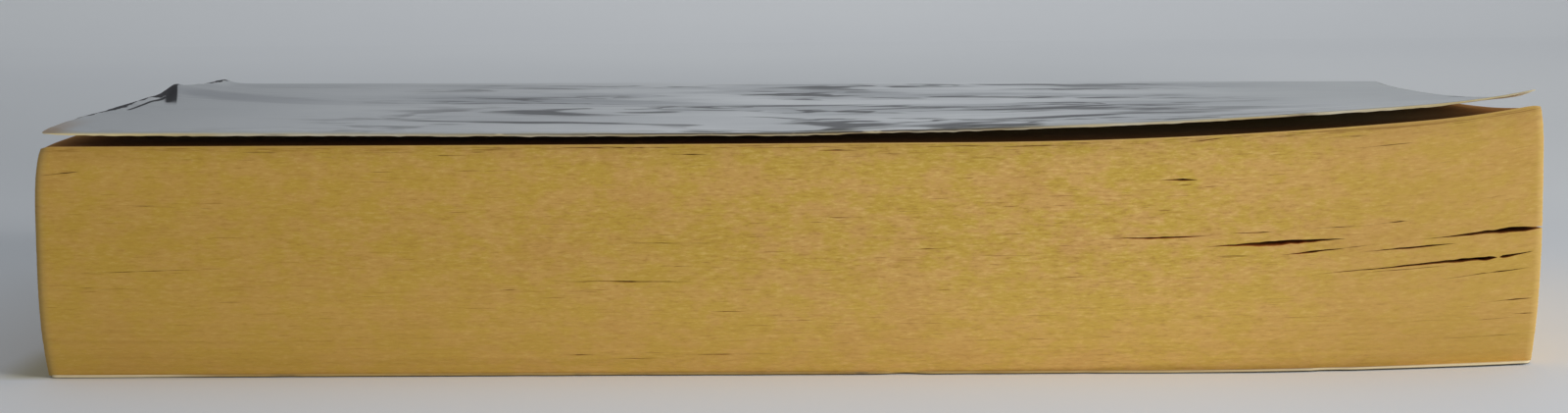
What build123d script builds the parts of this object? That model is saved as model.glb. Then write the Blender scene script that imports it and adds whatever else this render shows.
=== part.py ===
from build123d import *
import os
from math import atan2, degrees, exp

# A thick pocket-size paperback lying on its back cover.
# X runs along the spine from tail to head, Y from the fore edge back to the spine, Z up.
# The origin is the middle of the underside, where the book rests.

# Driving dimensions, in millimetres
BOOK_LENGTH = 175.0         # tail to head
BOOK_WIDTH = 106.0          # foremost leaves to the outside of the spine
LEAVES_THICKNESS = 26.9     # all the leaves, pressed together at the middle of the spine
SPINE_TAPER = 0.8           # how much thicker the worn spine is at the tail than at the head
CARD = 0.3                  # cover card
SPINE_GLUE = 0.6            # hot-melt layer on the spine
SIDE_GLUE = 0.1             # thin glue on the outermost leaves
GLUED_STRIP = 4.7           # width of card glued beside the spine
SPINE_HOLLOW = 2.5          # how far the rolled spine sinks in at mid height
FOLD_RADIUS = 0.4           # outside radius of the folds beside the spine
COVER_WEAR = 0.2            # how far the card has worn back from the trimmed ends
CORNER_WEAR = 1.2           # radius of the blunted cover corners
PIVOT_CLEARANCE = 0.08      # fold line above the outer face of the card

# Shape of the well-thumbed leaves
FORE_ROUNDING = 3.3         # how far the first and last leaves sit behind the foremost
HEAD_ROUNDING = 2.0         # the same for the first leaves at the head end
FOOT_ROUNDING = 4.2         # the same for the last leaves at the head end
CREST = 0.5                 # height of the foremost leaves, as a share of the thickness
HEAD_CREST = 0.62           # the same at the head end
ROUND_BELOW = 2.5           # power of the curve from the crest down to the last leaf
ROUND_ABOVE = 5.0           # and up to the first leaf, which turns in more suddenly
LEAF_SPRING = 0.05          # looseness of the leaves in front of the glued strip
FAN_LIFT = 3.7              # how far the first leaves spring up at the head corner
FAN_REACH = 67.5            # length over which they rise
LEAF_CURL = 0.7             # extra curl of their very corner
LEAF_CURL_REACH = 13.0
TAIL_SWELL = 0.15           # slight swelling at the tail end

# Slits at the head end, where leaves have parted:
# distance from the head, height, length, opening, slope in degrees, depth
SLITS = [
    (5.6, 16.8, 15.0, 0.55, 5.6, 26.0),
    (13.0, 13.3, 24.0, 0.45, 6.1, 20.0),
    (14.2, 15.25, 8.3, 0.22, 4.5, 8.0),
    (29.7, 15.75, 13.7, 0.55, 3.6, 14.0),
    (44.2, 16.45, 11.6, 0.28, 1.5, 9.0),
    (25.4, 14.75, 7.2, 0.22, 7.1, 7.0),
    (41.7, 23.1, 3.5, 0.22, 0.0, 4.0),
]
SLIT_END_LENGTH = 0.5       # share of a slit's length left at its inner end
SLIT_END_OPENING = 0.15     # and share of its opening

# Sprung front cover
FORE_GAP = 0.85             # cover above the first leaf along the fore edge
TAIL_GAP = 0.35             # wider by this at the tail
HEAD_GAP = 0.65             # wider by this over the head half
HEAD_CLOSING = 0.25         # narrower again by this at the head's front corner
TAIL_CURL = 0.5             # turned-up tail edge
TAIL_REACH = 7.0
PINCH_HEIGHT = 0.9          # pinched crease that runs in from the tail edge
PINCH_FROM_FORE = 66.5      # where it starts, from the cover's fore edge
PINCH_FRONT = 5.0           # how quickly it falls off towards the fore edge
PINCH_BACK = 20.0           # and towards the spine
PINCH_REACH = 16.0
PINCH_SLANT = 0.42          # how much it drifts towards the fore edge per mm

# Curled front corner at the head end of the back cover
CURL_LIFT = 0.95
CURL_ALONG = 45.0           # along the fore edge
CURL_DEEP = 55.0            # along the head edge

# Derived places
head = BOOK_LENGTH / 2
tail = -head
spine_out = BOOK_WIDTH / 2
fore = -spine_out
spine_in = spine_out - CARD
leaves_back = spine_in - SPINE_GLUE
hinge_y = spine_in - GLUED_STRIP
leaves_bottom = CARD + SIDE_GLUE
cover_fore = fore + FORE_ROUNDING - CARD
cover_reach = hinge_y - cover_fore
flat_reach = spine_out - hinge_y + FOLD_RADIUS    # the cover folds back flat over this strip


def ramp(value, start, end):
    """0 before start, 1 after end, straight between."""
    return min(1.0, max(0.0, (value - start) / (end - start)))


def leaves_top(x):
    """Top of the leaves where they are glued: the worn spine tapers from tail to head."""
    return leaves_bottom + LEAVES_THICKNESS - SPINE_TAPER * x / BOOK_LENGTH


def book_top(x):
    """Outer face of the card strip beside the spine."""
    return leaves_top(x) + SIDE_GLUE + CARD


def first_leaf_z(x, y):
    """Height of the topmost leaf: level at the fore edge, fanned up at the head's corner."""
    forward = max(0.0, hinge_y - y) / (hinge_y - fore)
    level = SPINE_TAPER * x / BOOK_LENGTH * forward
    fan = FAN_LIFT * ramp(x, head - FAN_REACH, head) ** 2
    swell = TAIL_SWELL * ramp(-x, 0.0, head) ** 2
    corner = ramp(x, head - LEAF_CURL_REACH, head) * ramp(forward, 0.7, 1.0)
    return leaves_top(x) + LEAF_SPRING + level + (fan + swell) * forward ** 2 + LEAF_CURL * corner ** 2


def fore_edge_y(x, z):
    """Bulged fore edge, rounded off at the first and last leaves, differently at the head."""
    at_head = ramp(x, head - FAN_REACH, head)
    share = (z - leaves_bottom) / (first_leaf_z(x, fore) - leaves_bottom)
    crest = CREST + (HEAD_CREST - CREST) * at_head
    if share < crest:
        rounding = FORE_ROUNDING + (FOOT_ROUNDING - FORE_ROUNDING) * at_head
        return fore + rounding * (1 - share / crest) ** ROUND_BELOW
    rounding = FORE_ROUNDING + (HEAD_ROUNDING - FORE_ROUNDING) * at_head
    return fore + rounding * ((share - crest) / (1 - crest)) ** ROUND_ABOVE


def cover_gap(x, y):
    """Air between the topmost leaf and the sprung front cover."""
    back = hinge_y - y
    toward_head = x / head
    toward_tail = -toward_head
    widest = FORE_GAP + TAIL_GAP * ramp(toward_tail, 0, 0.8) + HEAD_GAP * ramp(toward_head, 0, 0.4)
    widest -= HEAD_CLOSING * ramp(toward_head, 0.7, 0.95)
    bulge = exp(max(0.0, toward_tail))
    gap = widest * (1 - (1 - ramp(back, flat_reach, cover_reach)) ** bulge)
    from_tail = x - tail
    edge = ramp(back, flat_reach, 2 * flat_reach) * ramp(y - cover_fore, 0, 3 * flat_reach)
    gap += TAIL_CURL * edge * exp(-from_tail / TAIL_REACH)
    from_ridge = y - (cover_fore + PINCH_FROM_FORE - PINCH_SLANT * from_tail)
    width = PINCH_BACK if from_ridge > 0 else PINCH_FRONT
    pinch = exp(-(from_ridge / width) ** 2) * exp(-from_tail / PINCH_REACH)
    gap += PINCH_HEIGHT * pinch * ramp(back, flat_reach, 3 * flat_reach)
    return SIDE_GLUE - LEAF_SPRING + gap


def spread(start, end, steps):
    """Evenly spaced values from start to end."""
    return [start + (end - start) * step / steps for step in range(steps + 1)]


def sheet(rows):
    """Smooth surface through rows of points."""
    return Face.make_surface_from_array_of_points(rows, tol=0.01)


def line_at(x, *points):
    """Straight edges through (y, z) points in the plane across the spine at x."""
    return Polyline(*[(x, y, z) for y, z in points]).edges()


def bend_at(x, *points):
    """Arc through three (y, z) points in the plane across the spine at x."""
    return [ThreePointArc(*[(x, y, z) for y, z in points])]


def hollow(x, y, low, high):
    """Sunken line of the spine, drawn from its low end to its high end."""
    return bend_at(x, (y, low), (y - SPINE_HOLLOW, (low + high) / 2), (y, high))


def between_ends(section, length):
    """Straight loft of a section from the tail end to the head end of a length."""
    ends = [Face(Wire(section(x))) for x in (-length / 2, length / 2)]
    return loft(ends, ruled=True)


def blank_section(x):
    """Oversize stack of leaves: true at the spine and underneath, with room to trim the rest."""
    room = FAN_LIFT + 2
    top = leaves_top(x)
    outline = line_at(
        x,
        (leaves_back, top),
        (hinge_y, top),
        (hinge_y, top + room),
        (fore - room, top + room),
        (fore - room, leaves_bottom),
        (leaves_back, leaves_bottom),
    )
    return outline + hollow(x, leaves_back, leaves_bottom, top)


def glue_section(x):
    """Glue in one skin over the spine and a little way onto the outermost leaves."""
    top = leaves_top(x)
    edges = line_at(
        x,
        (leaves_back, top),
        (hinge_y, top),
        (hinge_y, top + SIDE_GLUE),
        (spine_in, top + SIDE_GLUE),
    )
    edges += hollow(x, spine_in, CARD, top + SIDE_GLUE)
    edges += line_at(
        x,
        (spine_in, CARD),
        (hinge_y, CARD),
        (hinge_y, leaves_bottom),
        (leaves_back, leaves_bottom),
    )
    return edges + hollow(x, leaves_back, leaves_bottom, top)


def card_section(x):
    """Spine of the cover, with the two strips that are glued down beside it."""
    r = FOLD_RADIUS
    turn = r * (1 - 0.5 ** 0.5)
    top = book_top(x)
    corner = spine_out - r
    edges = line_at(
        x,
        (spine_in, top - CARD),
        (hinge_y, top - CARD),
        (hinge_y, top),
        (corner, top),
    )
    edges += bend_at(x, (corner, top), (spine_out - turn, top - turn), (spine_out, top - r))
    edges += hollow(x, spine_out, r, top - r)
    edges += bend_at(x, (spine_out, r), (spine_out - turn, turn), (corner, 0))
    edges += line_at(x, (corner, 0), (hinge_y, 0), (hinge_y, CARD), (spine_in, CARD))
    return edges + hollow(x, spine_in, CARD, top - CARD)


def lens(length, opening, y):
    """Pointed oval in the XZ plane, for a slit between leaves."""
    left = (-length / 2, y, 0)
    right = (length / 2, y, 0)
    upper = ThreePointArc(left, (0, y, opening / 2), right)
    lower = ThreePointArc(right, (0, y, -opening / 2), left)
    return Face(Wire([upper, lower]))


def page_slit(from_head, z, length, opening, slope, depth):
    """Wedge of air where the leaves have parted, closing towards the spine."""
    mouth = lens(length, opening, fore - 1)
    end = lens(length * SLIT_END_LENGTH, opening * SLIT_END_OPENING, fore + depth)
    wedge = loft([mouth, end], ruled=True)
    return Pos(head - from_head, 0, z) * Rot(0, -slope, 0) * wedge


def corner_curl(inset):
    """Big cylinder resting on the slanting line where the back cover starts to curl up."""
    corner = Vector(head - COVER_WEAR, cover_fore, 0)
    along = Vector(-CURL_ALONG, 0, 0)
    deep = Vector(0, CURL_DEEP, 0)
    line = deep - along
    distance = CURL_ALONG * CURL_DEEP / line.length
    radius = distance ** 2 / (2 * CURL_LIFT)
    middle = corner + (along + deep) * 0.5
    angle = degrees(atan2(line.Y, line.X))
    place = Pos(middle.X, middle.Y, radius) * Rot(0, 0, angle) * Rot(0, 90, 0)
    return place * Cylinder(radius - inset, 4 * line.length)


def beyond_curl_line(low, high):
    """Prism over the curled corner, between two heights."""
    corner = Vector(head - COVER_WEAR, cover_fore, low)
    along = Vector(CURL_ALONG, 0, 0)
    deep = Vector(0, CURL_DEEP, 0)
    outline = Polyline(
        corner - 1.5 * along - 0.5 * deep,
        corner + 0.5 * along - 0.5 * deep,
        corner + 0.5 * along + 1.5 * deep,
        close=True,
    )
    return extrude(make_face(outline), high - low, dir=(0, 0, 1))


def cover_outline(low, high):
    """Prism over a cover panel, with its two fore corners blunted by wear."""
    width = BOOK_LENGTH - 2 * COVER_WEAR
    panel = Pos(0, (hinge_y + cover_fore) / 2, low) * Rectangle(width, cover_reach)
    corners = panel.vertices().sort_by(Axis.Y)[:2]
    return extrude(fillet(corners, CORNER_WEAR), high - low, dir=(0, 0, 1))


def make_text_block():
    """All the leaves as one stack, with the slits parted at the fore edge."""
    places = spread(tail - 1, head + 1, 40)
    levels = spread(leaves_bottom - 1, leaves_top(0) + FAN_LIFT + 3, 20)
    depths = spread(fore - FAN_LIFT - 3, leaves_back + 1, 24)
    fore_face = sheet([[Vector(x, fore_edge_y(x, z), z) for z in levels] for x in places])
    top_face = sheet([[Vector(x, y, first_leaf_z(x, y)) for y in depths] for x in places])
    block = between_ends(blank_section, BOOK_LENGTH)
    block &= extrude(fore_face, 2 * BOOK_WIDTH, dir=(0, 1, 0))
    block &= extrude(top_face, 2 * LEAVES_THICKNESS, dir=(0, 0, -1))
    for slit in SLITS:
        block -= page_slit(*slit)
    air = corner_curl(CARD + SIDE_GLUE)
    return block - (beyond_curl_line(0, 3 * CURL_LIFT) - air)


def make_front_cover():
    """Card sheet that springs up from its fold and curls at the head's front corner."""
    rows = []
    for x in spread(tail - 1, head + 1, 56):
        depths = spread(cover_fore - 1, hinge_y, 40)
        rows.append([Vector(x, y, first_leaf_z(x, y) + cover_gap(x, y)) for y in depths])
    card = extrude(sheet(rows), CARD, dir=(0, 0, 1))
    return card & cover_outline(0, 2 * LEAVES_THICKNESS)


def make_back_cover():
    """Flat card under the leaves, its head corner curled up off the table."""
    curled = cover_outline(0, LEAVES_THICKNESS) & beyond_curl_line(-1, LEAVES_THICKNESS)
    curled &= corner_curl(0) - corner_curl(CARD)
    return (cover_outline(0, CARD) - beyond_curl_line(-1, 2 * CARD)) + curled


parts = {
    "text_block": make_text_block(),
    "spine_glue": between_ends(glue_section, BOOK_LENGTH),
    "cover_spine": between_ends(card_section, BOOK_LENGTH - 2 * COVER_WEAR),
    "front_cover": make_front_cover(),
    "back_cover": make_back_cover(),
}
os.makedirs("parts", exist_ok=True)
for name, part in parts.items():
    part.label = name
    export_step(part, f"parts/{name}.step")
    print(name, round(part.volume, 1), part.is_valid, part.bounding_box())
print("front fold at y, z:", hinge_y, book_top(0) + PIVOT_CLEARANCE)
print("its rise per mm along x:", -SPINE_TAPER / BOOK_LENGTH)
print("back fold at y, z:", hinge_y, -PIVOT_CLEARANCE)
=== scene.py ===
from math import radians

import bmesh
import bpy
import numpy as np
from mathutils import Matrix, Vector


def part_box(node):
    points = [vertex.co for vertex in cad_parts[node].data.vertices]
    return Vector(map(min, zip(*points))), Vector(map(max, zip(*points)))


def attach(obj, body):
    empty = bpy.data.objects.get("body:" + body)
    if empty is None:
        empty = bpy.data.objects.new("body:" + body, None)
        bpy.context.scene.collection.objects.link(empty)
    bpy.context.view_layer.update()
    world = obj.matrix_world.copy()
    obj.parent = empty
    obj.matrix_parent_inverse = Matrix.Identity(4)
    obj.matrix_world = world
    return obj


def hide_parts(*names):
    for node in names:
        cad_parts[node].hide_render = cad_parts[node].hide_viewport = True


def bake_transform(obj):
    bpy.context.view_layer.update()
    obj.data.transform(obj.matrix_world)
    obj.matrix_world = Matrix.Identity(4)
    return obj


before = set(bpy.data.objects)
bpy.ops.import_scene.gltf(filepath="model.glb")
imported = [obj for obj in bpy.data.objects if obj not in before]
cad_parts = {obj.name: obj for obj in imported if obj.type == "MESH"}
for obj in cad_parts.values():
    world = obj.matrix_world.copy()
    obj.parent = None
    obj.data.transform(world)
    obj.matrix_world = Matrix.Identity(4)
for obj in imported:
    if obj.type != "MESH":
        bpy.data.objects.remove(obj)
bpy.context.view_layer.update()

# The leaves
# About 250 leaves of bulky, yellowed paper, glued at the spine. They bulge at the fore edge,
# fan up towards the head's front corner, and have parted in thin slits at the head end.
# Shapes are worked out in millimetres here, and new_piece turns them into metres.


def frame_box(node):
    """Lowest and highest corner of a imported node, in millimetres."""
    return [1000 * np.array(corner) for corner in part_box(node)]


leaves_low, leaves_high = frame_box("text_block")
strip_low, strip_high = frame_box("cover_spine")
panel_low, panel_high = frame_box("front_cover")
card = frame_box("spine_glue")[0][2]
head = leaves_high[0]
tail = -head
fore = leaves_low[1]
leaves_back = leaves_high[1]
leaves_bottom = leaves_low[2]
side_glue = leaves_bottom - card
spine_out = strip_high[1]
hinge_y = strip_low[1]
cover_fore = panel_low[1]
cover_end = panel_high[0]
tail_thicker = 0.8          # how much thicker the worn spine is at the tail than at the head
spine_taper = tail_thicker / (head - tail)
spine_top = strip_high[2] - spine_taper * cover_end
spine_hollow = 2.5          # how far the rolled spine sinks in at mid height
fore_rounding = 3.3         # how far the first and last leaves sit behind the foremost
head_rounding = 2.0         # the same for the first leaves at the head end
foot_rounding = 4.2         # the same for the last leaves at the head end
crest_share = 0.5           # height of the foremost leaves, as a share of the thickness
head_crest = 0.62           # the same at the head end
round_below = 2.5           # power of the curve from the crest down to the last leaf
round_above = 5             # and up to the first leaf, which turns in more suddenly
fan_lift = 3.7              # how far the first leaves spring up at the head corner
fan_reach = 67.5            # length over which they rise
leaf_curl = 0.7             # extra curl of their very corner
leaf_curl_reach = 13.0      # how far it runs along the fore edge
leaf_curl_from = 0.7        # share of the width at which the curl begins
tail_swell = 0.15           # slight swelling of the block at the tail end
leaf_spring = 0.05          # looseness of the leaves in front of the glued strip
corner_lift = 0.95          # curled front corner of the back cover at the head
corner_along = 45.0         # along the fore edge
corner_deep = 55.0          # along the head edge
leaf_thickness = 0.104
leaf_count = (leaves_high[2] - leaves_bottom) / leaf_thickness
corner_rub = 0.9            # how far the rubbed upright corners reach
tail_rub = 0.5              # how far they stand back at the tail
head_rub = 0.12             # and at the head
group_back = 0.07           # how far groups of leaves stand back from handling
single_back = 0.06          # and single leaves
thumbed_sink = 0.25         # how far the first leaves are pressed down behind their edge
thumbed_head = 1.6          # so many times more is added towards the head
thumbed_reach = 7           # how far in from the edge that fades out
thumbed_lip = 0.9           # width of the edge that stays up
thumbed_ends = 0.3          # how far their ends are pressed down
trim_least = 0.02           # how far the leaves are trimmed back at head and tail
trim_more = 0.05            # and at most by this more, unevenly


def ramp(value, start, end):
    """0 before start, 1 after end, straight between."""
    return np.clip((value - start) / (end - start), 0.0, 1.0)


def ease(value, start, end):
    """0 before start, 1 after end, smooth between."""
    share = ramp(value, start, end)
    return share * share * (3 - 2 * share)


def drift(u, v, u_step, v_step, seed):
    """Smooth random wandering between -1 and 1 over a surface, one bend every step."""
    u, v = np.broadcast_arrays(np.asarray(u, float) / u_step, np.asarray(v, float) / v_step)
    size = 512
    knots = np.random.default_rng(seed).uniform(-1, 1, (size, size))
    across, along = np.floor(u).astype(int), np.floor(v).astype(int)
    s, t = u - across, v - along
    s, t = s * s * (3 - 2 * s), t * t * (3 - 2 * t)

    def knot(du, dv):
        return knots[(across + du) % size, (along + dv) % size]

    near = knot(0, 0) * (1 - s) + knot(1, 0) * s
    far = knot(0, 1) * (1 - s) + knot(1, 1) * s
    return near * (1 - t) + far * t


def strip_top(x):
    """Outer face of the card glued beside the spine, thicker at the worn tail end."""
    return spine_top - spine_taper * x


def corner_rise(x, y):
    """How far the head's front corner of the back cover, and the leaves on it, curl up."""
    along = (x - (cover_end - corner_along)) / corner_along
    deep = (cover_fore + corner_deep - y) / corner_deep
    beyond = np.maximum(0.0, along + deep - 1)
    return corner_lift * beyond ** 2


def last_leaf(x, y):
    """Height of the lowest leaf."""
    return leaves_bottom + corner_rise(x, y)


def first_leaf(x, y):
    """Height of the topmost leaf: level at the fore edge, fanned up at the head's corner."""
    forward = np.maximum(0.0, hinge_y - y) / (hinge_y - fore)
    fan = fan_lift * ramp(x, head - fan_reach, head) ** 2
    swell = tail_swell * ramp(-x, 0, head) ** 2
    curl = leaf_curl * (ramp(x, head - leaf_curl_reach, head) * ramp(forward, leaf_curl_from, 1.0)) ** 2
    spring = leaf_spring * ramp(hinge_y - y, 0, 1)
    level = spine_taper * x * forward
    return strip_top(x) - card - side_glue + spring + level + (fan + swell) * forward ** 2 + curl


def fore_edge(x, share):
    """Where a leaf ends at the fore edge. Share is 0 for the last leaf and 1 for the first."""
    at_head = ramp(x, head - fan_reach, head)
    crest = crest_share + (head_crest - crest_share) * at_head
    below = fore_rounding + (foot_rounding - fore_rounding) * at_head
    below = below * np.maximum(0.0, 1 - share / crest) ** round_below
    above = fore_rounding + (head_rounding - fore_rounding) * at_head
    above = above * np.maximum(0.0, (share - crest) / (1 - crest)) ** round_above
    return fore + below + above


def spine_curve(share, back, low, high):
    """Hollow line of the spine, as an arc sunk by spine_hollow at its middle."""
    chord = high - low
    radius = (chord ** 2 / 4 + spine_hollow ** 2) / (2 * spine_hollow)
    return back + radius - spine_hollow - np.sqrt(radius ** 2 - ((share - 0.5) * chord) ** 2)


def leaf_ends(x, leaf):
    """How far the ends of single leaves and of groups of leaves stand back, from handling."""
    groups = 0.5 + 0.5 * drift(x, leaf, 40, 7, 3)
    single = 0.5 + 0.5 * drift(x, leaf, 11, 1.6, 4)
    return group_back * groups + single_back * single


def worn_corner(x):
    """How far the upright corners of the block stand back, rubbed round at head and tail."""
    turn = ramp(abs(x), head - corner_rub, head)
    depth = np.where(x < 0, tail_rub, head_rub)
    return depth * (1 - np.sqrt(1 - turn ** 2))


def new_piece(name, places, faces, looks=(), smooth_below=35):
    """A mesh from places in millimetres, shaded smooth but for its sharp edges."""
    mesh = bpy.data.meshes.new(name)
    mesh.from_pydata(np.asarray(places) / 1000, [], faces)
    mesh.shade_smooth()
    mesh.set_sharp_from_angle(angle=radians(smooth_below))
    made = bpy.data.objects.new(name, mesh)
    bpy.context.scene.collection.objects.link(made)
    for look in looks:
        mesh.materials.append(look)
    return made


def keep_vector(mesh, name, values):
    """A vector for every point of a mesh, which its material reads and a pose leaves alone."""
    stored = mesh.attributes.new(name, "FLOAT_VECTOR", "POINT")
    stored.data.foreach_set("vector", np.asarray(values, np.float32).ravel())


def grid_faces(index, flip=False):
    """Four-sided faces over a grid of point numbers."""
    a, b, c, d = index[:-1, :-1], index[1:, :-1], index[1:, 1:], index[:-1, 1:]
    corners = (a, d, c, b) if flip else (a, b, c, d)
    return np.stack([corner.ravel() for corner in corners], axis=1).tolist()


def stack_of_leaves():
    """Closed block of leaves: a fine grid on its edges, and a coarse one at the glued back."""
    columns, rows, leaves, back_rows, rubbed = 280, 26, 150, 6, 9
    inner_end = head - corner_rub
    x_line = np.linspace(-inner_end, inner_end, columns + 1 - 2 * rubbed)
    rub = np.linspace(0, corner_rub, rubbed + 1)[1:]
    x_line = np.concatenate([-inner_end - rub[::-1], x_line, inner_end + rub])
    shares = np.linspace(0, 1, leaves + 1)
    inward = np.linspace(0, 1, rows + 1) ** 1.6
    i, j, k = np.meshgrid(range(columns + 1), range(rows + 1), range(leaves + 1), indexing="ij")
    ends = (i == 0) | (i == columns)
    back = (j == rows) & ((k % (leaves // back_rows) == 0) | ends)
    kept = (ends | (j == 0) | (k == 0) | (k == leaves) | back) & ((j < rows) | back)
    index = np.full(kept.shape, -1)
    index[kept] = np.arange(kept.sum())
    x, share, depth = x_line[i[kept]], shares[k[kept]], inward[j[kept]]
    leaf = share * leaf_count
    front = fore_edge(x, share) + leaf_ends(x, leaf) * (depth == 0) + worn_corner(x)
    behind = spine_curve(share, leaves_back, leaves_bottom, strip_top(x) - card - side_glue)
    y = front + depth * (behind - front)
    sunk = np.exp((front - y) / thumbed_reach) - np.exp((front - y) / thumbed_lip)
    sunk = thumbed_sink * (1 + thumbed_head * ramp(x, 10, 70)) * sunk
    sunk = sunk + thumbed_ends * ramp(abs(x), head - 1.5, head) ** 2 * np.exp((front - y) / 2)
    settled = 0.9 * side_glue * ramp(share, 0.03, 0) * ramp(leaves_back - y, 3, 20)
    sunk = sunk * ramp(share, 0.97, 1) + settled
    z = last_leaf(x, y) + share * (first_leaf(x, y) - last_leaf(x, y)) - sunk
    trimmed = trim_least + trim_more * (0.5 + 0.5 * drift(y, leaf, 40, 1.9, 6))
    x = x - np.sign(x) * trimmed * ends[kept]
    faces = grid_faces(index[:, 0, :]) + grid_faces(index[0], flip=True) + grid_faces(index[columns])
    step = leaves // back_rows
    for column in range(columns):
        for low in range(0, leaves, step):
            near = index[column, rows, low:low + step + 1]
            far = index[column + 1, rows, low:low + step + 1]
            faces.append([*far[far >= 0][::-1], *near[near >= 0]])
    edge_count = len(faces)
    faces += grid_faces(index[:, :, leaves]) + grid_faces(index[:, :, 0], flip=True)
    kinds = [0] * edge_count + [1] * (len(faces) - edge_count)
    return np.stack([x, y, z], axis=1), faces, kinds


# Slits where leaves have parted: start and end along the book with their heights, then the
# opening, the depth, and where along the slit it is widest. One runs out at the head.
wide_slits = [
    (73.5, 16.1, 88.2, 17.5, 0.62, 18, 0.74),
    (61.0, 12.0, 82.4, 13.95, 0.46, 14, 0.96),
    (82.6, 13.95, 86.5, 14.65, 0.34, 10, 0.12),
    (67.0, 14.65, 77.6, 15.6, 0.26, 7, 0.52),
    (48.6, 15.3, 64.9, 16.2, 0.56, 12, 0.48),
    (57.6, 14.35, 64.8, 15.1, 0.26, 6, 0.42),
    (36.6, 16.3, 49.2, 16.55, 0.26, 8, 0.55),
    (43.6, 23.1, 47.9, 23.15, 0.30, 4, 0.6),
]
thin_slits = [
    (66.0, 12.1, 76.6, 12.95, 0.10, 3, 0.4),
    (50.2, 16.85, 57.8, 17.1, 0.12, 3, 0.7),
    (66.8, 17.7, 72.6, 18.3, 0.12, 3, 0.7),
    (61.4, 17.45, 66.2, 17.62, 0.07, 1.5, 0.5),
    (49.8, 14.2, 54.4, 14.25, 0.10, 2, 0.5),
    (64.2, 15.1, 69.2, 15.6, 0.06, 1.5, 0.4),
    (75.6, 11.3, 86.4, 12.75, 0.12, 3, 0.7),
    (80.6, 8.5, 86.7, 9.05, 0.15, 3, 0.75),
    (80.2, 6.4, 84.8, 6.75, 0.11, 2, 0.6),
    (84.4, 7.15, 87.0, 7.25, 0.10, 2, 0.6),
    (77.0, 4.15, 85.6, 4.65, 0.08, 1.5, 0.5),
    (66.0, 26.6, 72.6, 27.2, 0.13, 2, 0.6),
    (78.4, 30.05, 82.2, 30.75, 0.11, 2, 0.5),
    (47.0, 27.35, 54.4, 28.05, 0.10, 2, 0.3),
    (18.0, 26.9, 34.6, 26.95, 0.10, 1.5, 0.5),
    (3.6, 26.6, 8.6, 26.6, 0.13, 2, 0.5),
    (-27.4, 11.7, -10.6, 11.62, 0.15, 3, 0.5),
    (-19.0, 16.1, -8.0, 16.1, 0.07, 1, 0.5),
    (-29.8, 27.02, -10.2, 26.98, 0.08, 1.5, 0.6),
    (-13.8, 26.3, -8.7, 26.2, 0.12, 2, 0.6),
    (-11.8, 2.7, -1.0, 2.72, 0.10, 1.5, 0.4),
    (-26.2, 2.7, -22.2, 2.7, 0.10, 1.5, 0.5),
    (-20.4, 2.2, -14.8, 2.22, 0.10, 1.5, 0.5),
    (-50.4, 26.6, -43.2, 26.62, 0.07, 1, 0.4),
    (-63.4, 26.7, -59.4, 26.7, 0.08, 1, 0.5),
    (-82.5, 12.9, -68.3, 13.3, 0.07, 1, 0.5),
    (-86.8, 24.35, -82.3, 24.72, 0.13, 2, 0.6),
]
slit_step = 0.45            # distance between the points along a slit
lip_wander = 0.35           # how unevenly its lips run, as a share of its opening


def slit_air(start, low, end, high, opening, depth, widest, seed):
    """Closed wedge of air between two leaves, pointed at both ends, with uneven lips."""
    levels, steps = 6, max(10, int((end - start) / slit_step))
    along = np.linspace(0, 1, steps + 1)
    x = start + along * (end - start)
    level = low + along * (high - low) + 0.04 * drift(x, 0, 3, 1, seed)
    opening_out = np.clip(along / widest, 0, 1) ** 1.25
    closing_in = np.clip((1 - along) / (1 - widest), 0, 1) ** 0.8
    opened = np.minimum(opening_out, closing_in)
    pinched = np.clip(0.62 + 0.95 * drift(x, 0, 1.2, 1, seed + 7), 0.1, 1)
    opened = np.clip(opened * pinched ** ramp(opening, 0.2, 0.08), 0.01, 1)
    front_share = (level - leaves_bottom) / (first_leaf(x, fore) - leaves_bottom)
    mouth = fore_edge(x, front_share) + worn_corner(x)
    share = (level - last_leaf(x, mouth)) / (first_leaf(x, mouth) - last_leaf(x, mouth))
    middle, upper_half, lower_half = [], [], []
    for inward in (-0.1, *np.linspace(0, 1, levels)):
        y = mouth + np.where(inward < 0, -1.0, 0.12) + max(0.0, inward) * depth * opened ** 0.5
        z = last_leaf(x, y) + share * (first_leaf(x, y) - last_leaf(x, y))
        middle.append(np.stack([x, y, z], axis=1))
        half = 0.5 * opening * opened * (1 - max(0.0, inward)) ** 0.8 + 0.004
        upper_half.append(half * (1 + lip_wander * drift(x, 0, 0.9, 1, seed + 50)))
        lower_half.append(half * (1 + lip_wander * drift(x, 0, 0.9, 1, seed + 90)))
    middle = np.array(middle)
    up = np.array([0.0, 0.0, 1.0])
    upper = np.arange(middle.shape[0] * (steps + 1)).reshape(middle.shape[:2])
    lower = upper + upper.size
    faces = grid_faces(upper) + grid_faces(lower, flip=True)
    ring = [(0, c) for c in range(steps)] + [(r, steps) for r in range(levels)]
    ring += [(levels, c) for c in range(steps, 0, -1)] + [(r, 0) for r in range(levels, 0, -1)]
    for here, there in zip(ring, ring[1:] + ring[:1]):
        faces.append([upper[here], upper[there], lower[there], lower[here]])
    above = middle + np.array(upper_half)[..., None] * up
    below = middle - np.array(lower_half)[..., None] * up
    return np.concatenate([above.reshape(-1, 3), below.reshape(-1, 3)]), faces


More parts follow.
